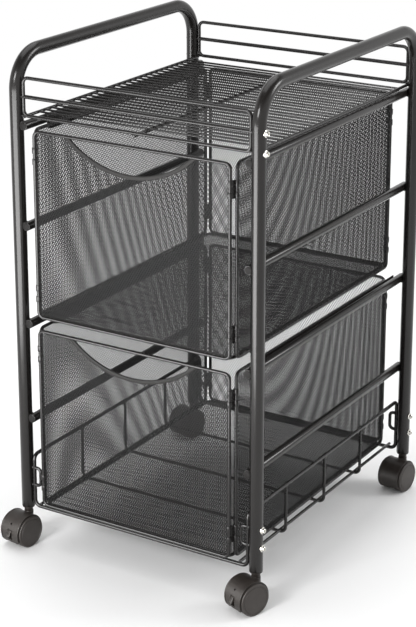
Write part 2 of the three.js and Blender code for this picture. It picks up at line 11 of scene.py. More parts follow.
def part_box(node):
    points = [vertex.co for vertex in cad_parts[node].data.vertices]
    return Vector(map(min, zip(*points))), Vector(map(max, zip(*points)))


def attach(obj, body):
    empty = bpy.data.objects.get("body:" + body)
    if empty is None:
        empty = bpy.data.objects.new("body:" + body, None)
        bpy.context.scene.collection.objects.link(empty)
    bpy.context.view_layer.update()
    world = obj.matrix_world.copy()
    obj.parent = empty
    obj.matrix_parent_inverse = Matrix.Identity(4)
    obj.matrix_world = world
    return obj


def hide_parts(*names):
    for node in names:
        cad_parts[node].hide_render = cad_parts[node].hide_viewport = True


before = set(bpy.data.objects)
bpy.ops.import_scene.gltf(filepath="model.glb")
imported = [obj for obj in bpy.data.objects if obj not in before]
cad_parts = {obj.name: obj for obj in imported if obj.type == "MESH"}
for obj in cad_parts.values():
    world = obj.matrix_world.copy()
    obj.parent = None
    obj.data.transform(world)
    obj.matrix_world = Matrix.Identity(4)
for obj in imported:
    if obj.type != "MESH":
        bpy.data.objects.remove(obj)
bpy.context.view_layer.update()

# Side hoops. Each is one 19 mm steel tube, bent twice into two legs and a hand rail, and powder
# coated satin black after welding. Everything else on the cart is welded or screwed to them.
hoop_bend = 0.050
hoop_sides = 40
hoop_low, hoop_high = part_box("right_hoop")
leg_radius = (hoop_high.x - hoop_low.x) / 2
leg_end = hoop_low.z
rail_height = hoop_high.z - leg_radius
front_leg_y = hoop_low.y + leg_radius
rear_leg_y = hoop_high.y - leg_radius
leg_x = {}
for side in ("left", "right"):
    low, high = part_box(f"{side}_hoop")
    leg_x[side] = (low.x + high.x) / 2
middle_x = (leg_x["left"] + leg_x["right"]) / 2
middle_y = (front_leg_y + rear_leg_y) / 2


def powder_grain_group():
    """Skin of a powder coat: faint mottling, dust on what faces up, and an orange-peel grain."""
    group = bpy.data.node_groups.new("powder_grain", "ShaderNodeTree")
    sockets = group.interface
    sockets.new_socket("Paint", in_out="INPUT", socket_type="NodeSocketColor")
    sockets.new_socket("Mottle", in_out="INPUT", socket_type="NodeSocketColor")
    sockets.new_socket("Roughness", in_out="INPUT", socket_type="NodeSocketFloat")
    sockets.new_socket("Peel", in_out="INPUT", socket_type="NodeSocketFloat")
    sockets.new_socket("Color", in_out="OUTPUT", socket_type="NodeSocketColor")
    sockets.new_socket("Roughness", in_out="OUTPUT", socket_type="NodeSocketFloat")
    sockets.new_socket("Normal", in_out="OUTPUT", socket_type="NodeSocketVector")
    nodes, links = group.nodes, group.links
    entry = nodes.new("NodeGroupInput")
    leave = nodes.new("NodeGroupOutput")
    place = nodes.new("ShaderNodeTexCoord")

    cloud = nodes.new("ShaderNodeTexNoise")
    cloud.inputs["Scale"].default_value = 14.0
    cloud.inputs["Detail"].default_value = 4.0
    links.new(place.outputs["Object"], cloud.inputs["Vector"])
    cloud_range = nodes.new("ShaderNodeMapRange")
    cloud_range.inputs["From Min"].default_value = 0.35
    cloud_range.inputs["From Max"].default_value = 0.75
    cloud_range.inputs["To Max"].default_value = 0.55
    links.new(cloud.outputs["Fac"], cloud_range.inputs["Value"])
    mottled = nodes.new("ShaderNodeMix")
    mottled.data_type = "RGBA"
    links.new(cloud_range.outputs["Result"], mottled.inputs["Factor"])
    links.new(entry.outputs["Paint"], mottled.inputs["A"])
    links.new(entry.outputs["Mottle"], mottled.inputs["B"])

    speck = nodes.new("ShaderNodeTexNoise")
    speck.inputs["Scale"].default_value = 420.0
    speck.inputs["Detail"].default_value = 2.0
    links.new(place.outputs["Object"], speck.inputs["Vector"])
    facing = nodes.new("ShaderNodeNewGeometry")
    upward = nodes.new("ShaderNodeSeparateXYZ")
    links.new(facing.outputs["Normal"], upward.inputs["Vector"])
    settle = nodes.new("ShaderNodeMapRange")
    settle.inputs["From Min"].default_value = 0.55
    settle.inputs["From Max"].default_value = 1.0
    settle.inputs["To Max"].default_value = 0.02
    links.new(upward.outputs["Z"], settle.inputs["Value"])
    dusting = nodes.new("ShaderNodeMath")
    dusting.operation = "MULTIPLY"
    links.new(settle.outputs["Result"], dusting.inputs[0])
    links.new(speck.outputs["Fac"], dusting.inputs[1])
    dusty = nodes.new("ShaderNodeMix")
    dusty.data_type = "RGBA"
    dusty.inputs["B"].default_value = (0.32, 0.31, 0.30, 1.0)
    links.new(dusting.outputs["Value"], dusty.inputs["Factor"])
    links.new(mottled.outputs["Result"], dusty.inputs["A"])
    links.new(dusty.outputs["Result"], leave.inputs["Color"])

    spread = nodes.new("ShaderNodeMapRange")
    spread.inputs["To Min"].default_value = -0.06
    spread.inputs["To Max"].default_value = 0.10
    links.new(speck.outputs["Fac"], spread.inputs["Value"])
    rough = nodes.new("ShaderNodeMath")
    rough.operation = "ADD"
    links.new(entry.outputs["Roughness"], rough.inputs[0])
    links.new(spread.outputs["Result"], rough.inputs[1])
    links.new(rough.outputs["Value"], leave.inputs["Roughness"])

    peel = nodes.new("ShaderNodeTexNoise")
    peel.inputs["Scale"].default_value = 1300.0
    peel.inputs["Detail"].default_value = 1.0
    links.new(place.outputs["Object"], peel.inputs["Vector"])
    bump = nodes.new("ShaderNodeBump")
    bump.inputs["Distance"].default_value = 0.0002
    links.new(entry.outputs["Peel"], bump.inputs["Strength"])
    links.new(peel.outputs["Fac"], bump.inputs["Height"])
    links.new(bump.outputs["Normal"], leave.inputs["Normal"])
    return group


powder_grain = powder_grain_group()


def coated_steel(name, paint, mottle, roughness, peel, gloss=0.42):
    """Powder coat over steel: a dielectric skin, so the black comes from the paint alone."""
    finish = bpy.data.materials.new(name)
    finish.use_nodes = True
    nodes, links = finish.node_tree.nodes, finish.node_tree.links
    shader = nodes["Principled BSDF"]
    shader.inputs["Metallic"].default_value = 0.0
    shader.inputs["Specular IOR Level"].default_value = gloss
    grain = nodes.new("ShaderNodeGroup")
    grain.node_tree = powder_grain
    grain.inputs["Paint"].default_value = (*paint, 1.0)
    grain.inputs["Mottle"].default_value = (*mottle, 1.0)
    grain.inputs["Roughness"].default_value = roughness
    grain.inputs["Peel"].default_value = peel
    links.new(grain.outputs["Color"], shader.inputs["Base Color"])
    links.new(grain.outputs["Roughness"], shader.inputs["Roughness"])
    links.new(grain.outputs["Normal"], shader.inputs["Normal"])
    return finish


def extrude_ring(bm, ring, step):
    """Pulls a ring of edges along a straight run and gives back the new ring."""
    pulled = bmesh.ops.extrude_edge_only(bm, edges=ring)["geom"]
    verts = [item for item in pulled if isinstance(item, bmesh.types.BMVert)]
    bmesh.ops.translate(bm, verts=verts, vec=step)
    fresh = set(verts)
    edges = [item for item in pulled if isinstance(item, bmesh.types.BMEdge)]
    return [edge for edge in edges if fresh.issuperset(edge.verts)]


def bent_tube(bm, corners, bend, radius, sides, bend_steps, closed=False, end_round=0.0):
    """A round bar through its corners: runs are extruded, bends are spun, ends are filled."""
    corners = [Vector(corner) for corner in corners]
    start = (corners[-1] + corners[0]) / 2 if closed else corners[0]
    end = start if closed else corners[-1]
    turns = corners if closed else corners[1:-1]
    targets = corners[1:] + [end] if closed else corners[2:]
    heading = (corners[0] - start) if closed else (corners[1] - corners[0])
    seat = Matrix.Translation(start) @ heading.to_track_quat("Z", "Y").to_matrix().to_4x4()
    circle = bmesh.ops.create_circle(bm, segments=sides, radius=radius, matrix=seat)
    ring = list({edge for vert in circle["verts"] for edge in vert.link_edges})
    first_ring = ring
    here = start
    for corner, target in zip(turns, targets):
        arriving = (corner - here).normalized()
        leaving = (target - corner).normalized()
        angle = arriving.angle(leaving)
        trim = bend * math.tan(angle / 2)
        ring = extrude_ring(bm, ring, corner - arriving * trim - here)
        centre = corner + (leaving - arriving).normalized() * (bend / math.cos(angle / 2))
        spun = bmesh.ops.spin(bm, geom=ring, cent=centre, axis=arriving.cross(leaving).normalized(),
                              angle=angle, steps=bend_steps)["geom_last"]
        ring = [item for item in spun if isinstance(item, bmesh.types.BMEdge)]
        here = corner + leaving * trim
    ring = extrude_ring(bm, ring, end - here)
    if closed:
        seam = {vert for edge in first_ring + ring for vert in edge.verts}
        bmesh.ops.remove_doubles(bm, verts=list(seam), dist=1e-5)
        return
    for rim in (first_ring, ring):
        bmesh.ops.contextual_create(bm, geom=rim)
    if end_round:
        bmesh.ops.bevel(bm, geom=first_ring + ring, offset=end_round, offset_type="OFFSET", segments=3,
                        profile=0.5, affect="EDGES", material=-1)


def add_piece(bm, name, finish, slot, body, *stands_for):
    """Turns a finished bmesh into a piece that rides on a body and may stand for solid nodes."""
    bmesh.ops.recalc_face_normals(bm, faces=bm.faces[:])
    mesh = bpy.data.meshes.new(name)
    bm.to_mesh(mesh)
    bm.free()
    mesh.shade_smooth()
    mesh.set_sharp_from_angle(angle=math.radians(38))
    mesh.materials.append(finish)
    piece = bpy.data.objects.new(name, mesh)
    bpy.context.scene.collection.objects.link(piece)
    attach(piece, body)
    if stands_for:
        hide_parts(*stands_for)
    return piece


tube_black = coated_steel("tube_black", (0.0095, 0.0082, 0.0075), (0.015, 0.0132, 0.0120), 0.20, 0.07)
for side, x in leg_x.items():
    bm = bmesh.new()
    route = [(x, front_leg_y, leg_end), (x, front_leg_y, rail_height),
             (x, rear_leg_y, rail_height), (x, rear_leg_y, leg_end)]
    bent_tube(bm, route, hoop_bend, leg_radius, hoop_sides, 18, end_round=0.0006)
    add_piece(bm, f"{side}_side_hoop", tube_black, "coated_tube", "frame", f"{side}_hoop")

# Cross bars. Four 12.7 mm tubes on each side lie against the inner faces of both legs and pass
# them by a few millimetres; each is fillet welded to the leg and closed with a pressed-in dull cap.
bar_rows = ("top", "upper", "middle", "lower")
cap_sink = 0.0005
cap_wall = 0.0011
cap_depth = 0.0016
cap_black = coated_steel("cap_black", (0.010, 0.0092, 0.0088), (0.014, 0.0132, 0.0126), 0.50, 0.05, 0.12)
bead_size = Vector((0.0018, 0.0062, 0.0017))
for side in leg_x:
    plugs = bmesh.new()
    for row in bar_rows:
        node = f"{side}_{row}_bar"
        low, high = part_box(node)
        axis = (low + high) / 2
        radius = (high.z - low.z) / 2
        bm = bmesh.new()
        bent_tube(bm, [(axis.x, low.y, axis.z), (axis.x, high.y, axis.z)], 0, radius, 32, 1, end_round=0.0007)
        caps = [face for face in bm.faces if abs(face.normal.y) > 0.99]
        for cap in caps:
            bmesh.ops.inset_region(bm, faces=[cap], thickness=0.0012, depth=-cap_sink)
        for end in (low.y, high.y):
            seat = Matrix.Translation((axis.x, end, axis.z)) @ Matrix.Rotation(math.pi / 2, 4, "X")
            plug = bmesh.ops.create_cone(plugs, cap_ends=True, segments=28, radius1=radius - cap_wall,
                                         radius2=radius - cap_wall, depth=cap_depth, matrix=seat)
            rims = [edge for edge in {e for v in plug["verts"] for e in v.link_edges}
                    if abs(edge.verts[0].co.y - edge.verts[1].co.y) < 1e-6]
            bmesh.ops.bevel(plugs, geom=rims, offset=0.0006, offset_type="OFFSET", segments=3, profile=0.5,
                            affect="EDGES", material=-1)
        outward = math.copysign(1, axis.x - middle_x)
        for y in (front_leg_y, rear_leg_y):
            for above in (-1, 1):
                seat = Vector((axis.x + outward * 0.0045, y, axis.z + above * (radius - 0.0012)))
                form = Matrix.Translation(seat) @ Matrix.Diagonal((*bead_size, 1.0))
                bmesh.ops.create_uvsphere(bm, u_segments=14, v_segments=8, radius=1.0, matrix=form)
        add_piece(bm, f"{side}_{row}_cross_bar", tube_black, "coated_tube", "frame", node)
    add_piece(plugs, f"{side}_bar_caps", cap_black, "coated_tube", "frame")

# Top shelf deck. Twenty-eight 3 mm wires run from side to side, welded on a middle support and
# between two edge wires; these three run front to back just over the bars, welded to both guards.
deck_low, deck_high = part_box("shelf_deck")
deck_radius = 0.0015
support_radius = 0.00225
edge_drop = 0.0008
support_drop = 0.00285
wire_lap = 0.0012
deck_wires = 28
deck_pitch = 0.0142
edge_reach = 0.1807
wire_black = coated_steel("wire_black", (0.0080, 0.0070, 0.0066), (0.013, 0.0116, 0.0110), 0.24, 0.07)
bm = bmesh.new()
for place in (-1, 0, 1):
    x = middle_x + place * edge_reach
    z = deck_high.z - deck_radius - (edge_drop if place else support_drop)
    bent_tube(bm, [(x, front_leg_y, z), (x, rear_leg_y, z)], 0, support_radius, 14, 1, end_round=0.0006)
wire_end = edge_reach + wire_lap
for row in range(deck_wires):
    y = middle_y + (row - (deck_wires - 1) / 2) * deck_pitch
    z = deck_high.z - deck_radius
    bent_tube(bm, [(middle_x - wire_end, y, z), (middle_x + wire_end, y, z)], 0, deck_radius, 12, 1,
              end_round=0.0007)
add_piece(bm, "shelf_wires", wire_black, "coated_wire", "frame", "shelf_deck")

# Shelf guards. Front and back alike: a 5 mm wire bent into a closed rail with rounded corners and
# butt welded, with a heavier rod across its middle; short rods at the lower corners take screws.
guard_radius = 0.0025
guard_rod_radius = 0.00275
guard_bend = 0.008
for end, y in (("front", front_leg_y), ("rear", rear_leg_y)):
    node = f"shelf_{end}_guard"
    low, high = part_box(node)
    inner = Vector((low.x + 0.0025, y, low.z + guard_radius))
    outer = Vector((high.x - 0.0025, y, high.z - guard_radius))
    middle = (inner.z + outer.z) / 2
    bm = bmesh.new()
    rail = [(inner.x, y, inner.z), (outer.x, y, inner.z), (outer.x, y, outer.z), (inner.x, y, outer.z)]
    bent_tube(bm, rail, guard_bend, guard_radius, 16, 8, closed=True)
    bent_tube(bm, [(low.x, y, middle), (high.x, y, middle)], 0, guard_rod_radius, 18, 1)
    for tip, root in ((low.x, low.x + 0.026), (high.x, high.x - 0.026)):
        bent_tube(bm, [(tip, y, inner.z), (root, y, inner.z)], 0, 0.0021, 12, 1)
    add_piece(bm, f"{end}_shelf_guard", wire_black, "coated_wire", "frame", node)

# Bottom rack. One 5.5 mm wire is bent into a saddle-shaped ring, low at the front and back and
# high along the sides; cradle wires, two long wires and a staple beside each leg are welded on.
ring_radius = 0.00275
cradle_radius = 0.00225
staple_radius = 0.0025
ring_floor = leg_end + 0.0025
ring_top = ring_floor + 0.079
staple_heights = (ring_floor + 0.0322, ring_floor + 0.0588)
long_wire_height = ring_floor + 0.0047
cradle_height = ring_floor + 0.0005
rack_reach = 0.1783
bm = bmesh.new()
left, right = middle_x - rack_reach, middle_x + rack_reach
ring_route = [(left, front_leg_y, ring_floor), (right, front_leg_y, ring_floor),
              (right, front_leg_y, ring_top), (right, rear_leg_y, ring_top),
              (right, rear_leg_y, ring_floor), (left, rear_leg_y, ring_floor),
              (left, rear_leg_y, ring_top), (left, front_leg_y, ring_top)]
bent_tube(bm, ring_route, 0.009, ring_radius, 16, 8, closed=True)
cradle_reach = rack_reach - ring_radius - cradle_radius + 0.0003
for offset in (-0.113, 0.0, 0.113):
    y = middle_y + offset
    cradle = [(middle_x - cradle_reach, y, ring_top), (middle_x - cradle_reach, y, cradle_height),
              (middle_x + cradle_reach, y, cradle_height), (middle_x + cradle_reach, y, ring_top)]
    bent_tube(bm, cradle, 0.009, cradle_radius, 14, 8, end_round=0.0006)
for sign in (-1, 1):
    x = middle_x + sign * 0.167
    bent_tube(bm, [(x, front_leg_y - ring_radius, long_wire_height), (x, rear_leg_y + ring_radius, long_wire_height)],
              0, cradle_radius, 14, 1, end_round=0.0006)
    for y in (front_leg_y, rear_leg_y):
        foot = middle_x + sign * 0.1812
        bight = middle_x + sign * 0.1675
        staple = [(foot, y, staple_heights[0]), (bight, y, staple_heights[0]),
                  (bight, y, staple_heights[1]), (foot, y, staple_heights[1])]
        bent_tube(bm, staple, 0.006, staple_radius, 14, 6)
add_piece(bm, "bottom_wire_rack", wire_black, "coated_wire", "frame", "bottom_rack")

# Leg screws. Nickel button-head screws on cupped washers go through the right legs into the shelf
# guards and the rack's staples, four to a leg; on the left legs only low rivet domes show.
screw_profile = ((0.0, 0.0026), (0.0016, 0.0026), (0.0016, 0.0044), (0.0027, 0.0048), (0.0034, 0.0042), (0.0035, 0.0020),
                 (0.0040, 0.0018), (0.0050, 0.0013), (0.0052, 0.0006), (0.0050, 0.0))
rivet_profile = ((0.0, 0.0016), (0.0016, 0.0014), (0.0028, 0.0009), (0.0034, 0.0003), (0.0034, 0.0))


def turned(bm, profile, steps, seat):
    """Spins a profile of (radius, height) points once round the Z axis and sets it on its seat."""
    verts = [bm.verts.new((radius, 0.0, height)) for radius, height in profile]
    edges = [bm.edges.new(pair) for pair in zip(verts, verts[1:])]
    old = set(bm.verts) - set(verts)
    bmesh.ops.spin(bm, geom=verts + edges, cent=(0, 0, 0), axis=(0, 0, 1), angle=2 * math.pi, steps=steps,
                   use_merge=True)
    fresh = [vert for vert in bm.verts if vert not in old]
    bmesh.ops.remove_doubles(bm, verts=fresh, dist=1e-6)
    fresh = [vert for vert in bm.verts if vert not in old]
    bmesh.ops.transform(bm, matrix=seat, verts=fresh)


def brushed_nickel(name, colour, roughness):
    """Bright nickel plate with fine turning marks that spread its highlights."""
    finish = bpy.data.materials.new(name)
    finish.use_nodes = True
    nodes, links = finish.node_tree.nodes, finish.node_tree.links
    shader = nodes["Principled BSDF"]
    shader.inputs["Metallic"].default_value = 1.0
    place = nodes.new("ShaderNodeTexCoord")
    marks = nodes.new("ShaderNodeTexNoise")
    marks.inputs["Scale"].default_value = 1500.0
    marks.inputs["Detail"].default_value = 3.0
    links.new(place.outputs["Object"], marks.inputs["Vector"])
    tint = nodes.new("ShaderNodeMix")
    tint.data_type = "RGBA"
    tint.inputs["A"].default_value = (*colour, 1.0)
    tint.inputs["B"].default_value = (*[0.78 * part for part in colour], 1.0)
    links.new(marks.outputs["Fac"], tint.inputs["Factor"])
    links.new(tint.outputs["Result"], shader.inputs["Base Color"])
    spread = nodes.new("ShaderNodeMapRange")
    spread.inputs["To Min"].default_value = roughness
    spread.inputs["To Max"].default_value = roughness + 0.16
    links.new(marks.outputs["Fac"], spread.inputs["Value"])
    links.new(spread.outputs["Result"], shader.inputs["Roughness"])
    bump = nodes.new("ShaderNodeBump")
    bump.inputs["Strength"].default_value = 0.15
    bump.inputs["Distance"].default_value = 0.0001
    links.new(marks.outputs["Fac"], bump.inputs["Height"])
    links.new(bump.outputs["Normal"], shader.inputs["Normal"])
    return finish


nickel = brushed_nickel("screw_nickel", (0.80, 0.78, 0.73), 0.16)
guard_low, guard_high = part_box("shelf_front_guard")
screw_heights = (guard_low.z + guard_radius, (guard_low.z + guard_high.z) / 2, *staple_heights)
for side, profile, finish, slot in (("left", rivet_profile, tube_black, "coated_tube"),
                                    ("right", screw_profile, nickel, "plated_steel")):
    x = leg_x[side]
    outward = math.copysign(1, x - middle_x)
    bm = bmesh.new()
    for y in (front_leg_y, rear_leg_y):
        for z in screw_heights:
            seat = Matrix.Translation((x + outward * (leg_radius - 0.0006), y, z))
            turned(bm, profile, 24, seat @ Matrix.Rotation(outward * math.pi / 2, 4, "Y"))
    add_piece(bm, f"{side}_leg_screws", finish, slot, "frame")

# Drawer runners and glides. A formed steel channel hangs from the inner face of the top and middle
# bars, open towards the drawer; a flat bar on the drawer's side slides in it. Rivets hold both.
runner_sheet = 0.0014
runner_fold = 0.0005
for level in ("upper", "lower"):
    for side in ("left", "right"):
        node = f"{level}_{side}_runner"
        low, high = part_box(node)
        glide_low, glide_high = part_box(f"{level}_drawer_{side}_glide")
        sign = math.copysign(1, (low.x + high.x) / 2 - middle_x)
        web, lip = (high.x, low.x) if sign > 0 else (low.x, high.x)
        web_inner = web - sign * runner_sheet
        upper_lip = glide_high.z + 0.0004
        outline = ((web, low.z), (web, high.z), (web_inner, high.z), (web_inner, upper_lip + runner_sheet),
                   (lip, upper_lip + runner_sheet), (lip, upper_lip), (web_inner, upper_lip),
                   (web_inner, low.z + runner_sheet), (lip, low.z + runner_sheet), (lip, low.z))
        bm = bmesh.new()
        section = bm.faces.new([bm.verts.new((x, low.y, z)) for x, z in outline])
        pulled = bmesh.ops.extrude_face_region(bm, geom=[section])["geom"]
        bmesh.ops.translate(bm, verts=[item for item in pulled if isinstance(item, bmesh.types.BMVert)],
                            vec=(0, high.y - low.y, 0))
        folds = [edge for edge in bm.edges if abs((edge.verts[0].co - edge.verts[1].co).y) > 0.1]
        bmesh.ops.bevel(bm, geom=folds, offset=runner_fold, offset_type="OFFSET", segments=2, profile=0.5,
                        affect="EDGES", material=-1)
        for share in (0.12, 0.5, 0.88):
            y = low.y + share * (high.y - low.y)
            seat = Matrix.Translation((web_inner - sign * 0.0004, y, high.z - 0.0040))
            form = seat @ Matrix.Diagonal((0.0009, 0.0022, 0.0022, 1.0))
            bmesh.ops.create_uvsphere(bm, u_segments=14, v_segments=8, radius=1.0, matrix=form)
        add_piece(bm, f"{level}_{side}_channel", tube_black, "coated_tube", "frame", node)

        bm = bmesh.new()
        middle = (glide_low + glide_high) / 2
        size = glide_high - glide_low
        bmesh.ops.create_cube(bm, size=1.0, matrix=Matrix.Translation(middle) @ Matrix.Diagonal((*size, 1.0)))
        bmesh.ops.bevel(bm, geom=bm.edges[:], offset=0.0011, offset_type="OFFSET", segments=3, profile=0.5,
                        affect="EDGES", material=-1)
        add_piece(bm, f"{level}_{side}_glide_bar", tube_black, "coated_tube", f"{level}_drawer",
                  f"{level}_drawer_{side}_glide")

# Drawer panels. Each is a 5 mm wire bent into a rounded rectangle and butt welded, filled with
# expanded steel mesh whose diamonds are 3.6 mm wide and 6 mm high, all powder coated together.
frame_radius = 0.0025
panel_corner = 0.008
strand_pitch = 0.00311
strand_lean = math.radians(59)
strand_half_width = 0.00037
strand_half_depth = 0.00028
knuckle_step = 0.00018
mesh_black = coated_steel("mesh_black", (0.0070, 0.0066, 0.0068), (0.011, 0.0105, 0.0105), 0.46, 0.06, 0.18)
front_plane = Matrix(((1, 0, 0, 0), (0, 0, -1, 0), (0, 1, 0, 0), (0, 0, 0, 1)))
side_plane = Matrix(((0, 0, 1, 0), (1, 0, 0, 0), (0, 1, 0, 0), (0, 0, 0, 1)))
floor_plane = Matrix.Identity(4)


def strand_spans(start, along, width, height, opening):
    """Where a slanting strand lies inside the rounded outline, less the finger opening."""
    first, last = -1.0, 1.0
    for step in range(24):
        angle = step * math.pi / 12
        facing = Vector((math.cos(angle), math.sin(angle)))
        reach = ((width / 2 - panel_corner) * abs(facing.x) + (height / 2 - panel_corner) * abs(facing.y)
                 + panel_corner)
        slope = facing.dot(along)
        room = reach - facing.dot(start)
        if abs(slope) < 1e-9:
            last = last if room > 0 else first
        elif slope > 0:
            last = min(last, room / slope)
        else:
            first = max(first, room / slope)
    if last <= first:
        return []
    if not opening:
        return [(first, last)]
    centre, radius = opening
    reach = start - centre
    half = reach.dot(along)
    inside = half * half - reach.length_squared + radius * radius
    if inside <= 0:
        return [(first, last)]
    enter, leave = -half - math.sqrt(inside), -half + math.sqrt(inside)
    return [span for span in ((first, min(last, enter)), (max(first, leave), last)) if span[1] > span[0]]


def mesh_filling(bm, width, height, opening=None):
    """Expanded mesh: two sets of slanting strands that meet in diamonds."""
    for lean in (-1, 1):
        along = Vector((math.cos(strand_lean), lean * math.sin(strand_lean)))
        across = Vector((-along.y, along.x))
        reach = (width * abs(across.x) + height * abs(across.y)) / 2
        count = int(reach / strand_pitch)
        for index in range(-count, count + 1):
            start = across * (index * strand_pitch)
            for first, last in strand_spans(start, along, width, height, opening):
                centre = (start + along * (first + last) / 2).to_3d() + Vector((0, 0, lean * knuckle_step))
                turn = Matrix((along.to_3d(), across.to_3d(), (0, 0, 1))).transposed().to_4x4()
                size = Matrix.Diagonal((last - first, 2 * strand_half_width, 2 * strand_half_depth, 1.0))
                bmesh.ops.create_cube(bm, size=1.0, matrix=Matrix.Translation(centre) @ turn @ size)


def wire_frame(bm, width, height):
    """The rounded wire rectangle round a panel."""
    x, y = width / 2, height / 2
    bent_tube(bm, [(-x, -y, 0), (x, -y, 0), (x, y, 0), (-x, y, 0)], panel_corner, frame_radius, 16, 8, closed=True)


def panel_size(node, across, up):
    """Wire-to-wire width and height of a panel, and its middle, from its solid."""
    low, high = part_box(node)
    return (high[across] - low[across] - 2 * frame_radius, high[up] - low[up] - 2 * frame_radius,
            (low + high) / 2)


def add_panel(name, node, body, plane, width, height, middle, opening=None):
    """Sets a frame and its mesh in the panel's plane as two pieces of one drawer."""
    seat = Matrix.Translation(middle) @ plane
    bm = bmesh.new()
    wire_frame(bm, width, height)
    bmesh.ops.transform(bm, matrix=seat, verts=bm.verts[:])
    add_piece(bm, f"{name}_frame", wire_black, "coated_wire", body, node)
    bm = bmesh.new()
    mesh_filling(bm, width, height, opening)
    bmesh.ops.transform(bm, matrix=seat, verts=bm.verts[:])
    add_piece(bm, f"{name}_mesh", mesh_black, "coated_mesh", body, node)


# Drawers. Two alike: five panels held at the corners by clips, with a half-moon finger opening
# under the front's top wire whose bent band is welded to the mesh.
grip_from_corner = 0.053
grip_depth = 0.041
band_half_width = 0.0029
band_half_depth = 0.0018
clip_height = 0.025
clip_from_edge = 0.022
band_black = coated_steel("band_black", (0.018, 0.0172, 0.0165), (0.024, 0.0232, 0.0225), 0.50, 0.06, 0.16)
for level in ("upper", "lower"):
    body = f"{level}_drawer"
    front_node = f"{level}_drawer_front"
    width, height, middle = panel_size(front_node, 0, 2)
    half_grip = width / 2 - grip_from_corner
    grip_radius = (half_grip ** 2 + grip_depth ** 2) / (2 * grip_depth)
    grip_centre = Vector((0, height / 2 - grip_depth + grip_radius))
    add_panel(f"{level}_front", front_node, body, front_plane, width, height, middle, (grip_centre, grip_radius))
    front_middle, front_width = middle, width

    bm = bmesh.new()
    sweep = math.asin(half_grip / grip_radius)
    band = [bm.verts.new((0, -grip_radius + across, depth)) for across, depth in
            ((-band_half_width, -band_half_depth), (band_half_width, -band_half_depth),
             (band_half_width, band_half_depth), (-band_half_width, band_half_depth))]
    section = bm.faces.new(band)
    bmesh.ops.rotate(bm, verts=band, cent=(0, 0, 0), matrix=Matrix.Rotation(-sweep, 3, "Z"))
    rim = section.edges[:]
    bmesh.ops.spin(bm, geom=[*band, *rim, section], cent=(0, 0, 0), axis=(0, 0, 1), angle=2 * sweep, steps=48)
    long_edges = [edge for edge in bm.edges if len(edge.link_faces) == 2
                  and abs(edge.verts[0].co.xy.length - edge.verts[1].co.xy.length) < 1e-6
                  and abs(edge.verts[0].co.z - edge.verts[1].co.z) < 1e-6]
    bmesh.ops.bevel(bm, geom=long_edges, offset=0.0009, offset_type="OFFSET", segments=3, profile=0.5,
                    affect="EDGES", material=-1)
    seat = Matrix.Translation(middle) @ front_plane @ Matrix.Translation(grip_centre.to_3d())
    bmesh.ops.transform(bm, matrix=seat, verts=bm.verts[:])
    add_piece(bm, f"{level}_finger_band", band_black, "coated_wire", body, f"{level}_drawer_grip")

    back_node = f"{level}_drawer_back"
    width, height, middle = panel_size(back_node, 0, 2)
    add_panel(f"{level}_back", back_node, body, front_plane, width, height, middle)
    back_middle = middle

    floor_node = f"{level}_drawer_floor"
    width, height, middle = panel_size(floor_node, 0, 1)
    add_panel(f"{level}_floor", floor_node, body, floor_plane, width, height, middle)

    for side in ("left", "right"):
        side_node = f"{level}_drawer_{side}_side"
        low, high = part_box(side_node)
        sign = math.copysign(1, low.x - middle_x)
        plane_x = (high.x if sign > 0 else low.x) - sign * frame_radius
        y0, y1 = front_middle.y + 0.0095, back_middle.y - 0.0060
        z0, z1 = low.z + frame_radius, high.z - frame_radius
        middle = Vector((plane_x, (y0 + y1) / 2, (z0 + z1) / 2))
        add_panel(f"{level}_{side}", side_node, body, side_plane, y1 - y0, z1 - z0, middle)

        bm = bmesh.new()
        corner_x = middle_x + sign * front_width / 2
        for y, near_y in ((y0, front_middle.y), (y1, back_middle.y)):
            here, there = Vector((plane_x, y)), Vector((corner_x, near_y))
            gap = there - here
            for z in (z0 + clip_from_edge + clip_height / 2, z1 - clip_from_edge - clip_height / 2):
                plate = Matrix.Translation((*((here + there) / 2), z))
                plate = plate @ Matrix.Rotation(math.atan2(gap.y, gap.x), 4, "Z")
                size = Matrix.Diagonal((gap.length, 0.0014, clip_height, 1.0))
                strap = bmesh.ops.create_cube(bm, size=1.0, matrix=plate @ size)["verts"]
                edges = list({edge for vert in strap for edge in vert.link_edges})
                bmesh.ops.bevel(bm, geom=edges, offset=0.0004, offset_type="OFFSET", segments=2, profile=0.5,
                                affect="EDGES", material=-1)
                for spot in (here, there):
                    for part in (-0.32, 0.32):
                        seat = Matrix.Translation((*spot, z + part * clip_height))
                        sleeve = bmesh.ops.create_cone(bm, cap_ends=True, segments=20, radius1=0.0034,
                                                       radius2=0.0034, depth=0.34 * clip_height, matrix=seat)
                        rims = [edge for edge in {e for v in sleeve["verts"] for e in v.link_edges}
                                if abs(edge.verts[0].co.z - edge.verts[1].co.z) < 1e-6]
                        bmesh.ops.bevel(bm, geom=rims, offset=0.0005, offset_type="OFFSET", segments=2,
                                        profile=0.5, affect="EDGES", material=-1)
        add_piece(bm, f"{level}_{side}_corner_clips", wire_black, "coated_wire", body)

# Caster stems. A black plastic plug fills each leg end, with a rounded collar under the tube and a
# narrow neck that carries the hood's steel pin.
neck_top = leg_end - 0.0030
neck_bottom = neck_top - 0.0050
stem_profile = ((0.0, neck_bottom - 0.012), (0.0034, neck_bottom - 0.012), (0.0034, neck_bottom),
                (0.0060, neck_bottom), (0.0062, neck_bottom + 0.0003), (0.0062, neck_top - 0.0003),
                (0.0068, neck_top), (0.0078, neck_top + 0.0003), (0.0087, neck_top + 0.0010),
                (0.0092, neck_top + 0.0020), (0.0092, leg_end - 0.0003), (0.0078, leg_end - 0.0003),
                (0.0078, leg_end + 0.030), (0.0, leg_end + 0.030))


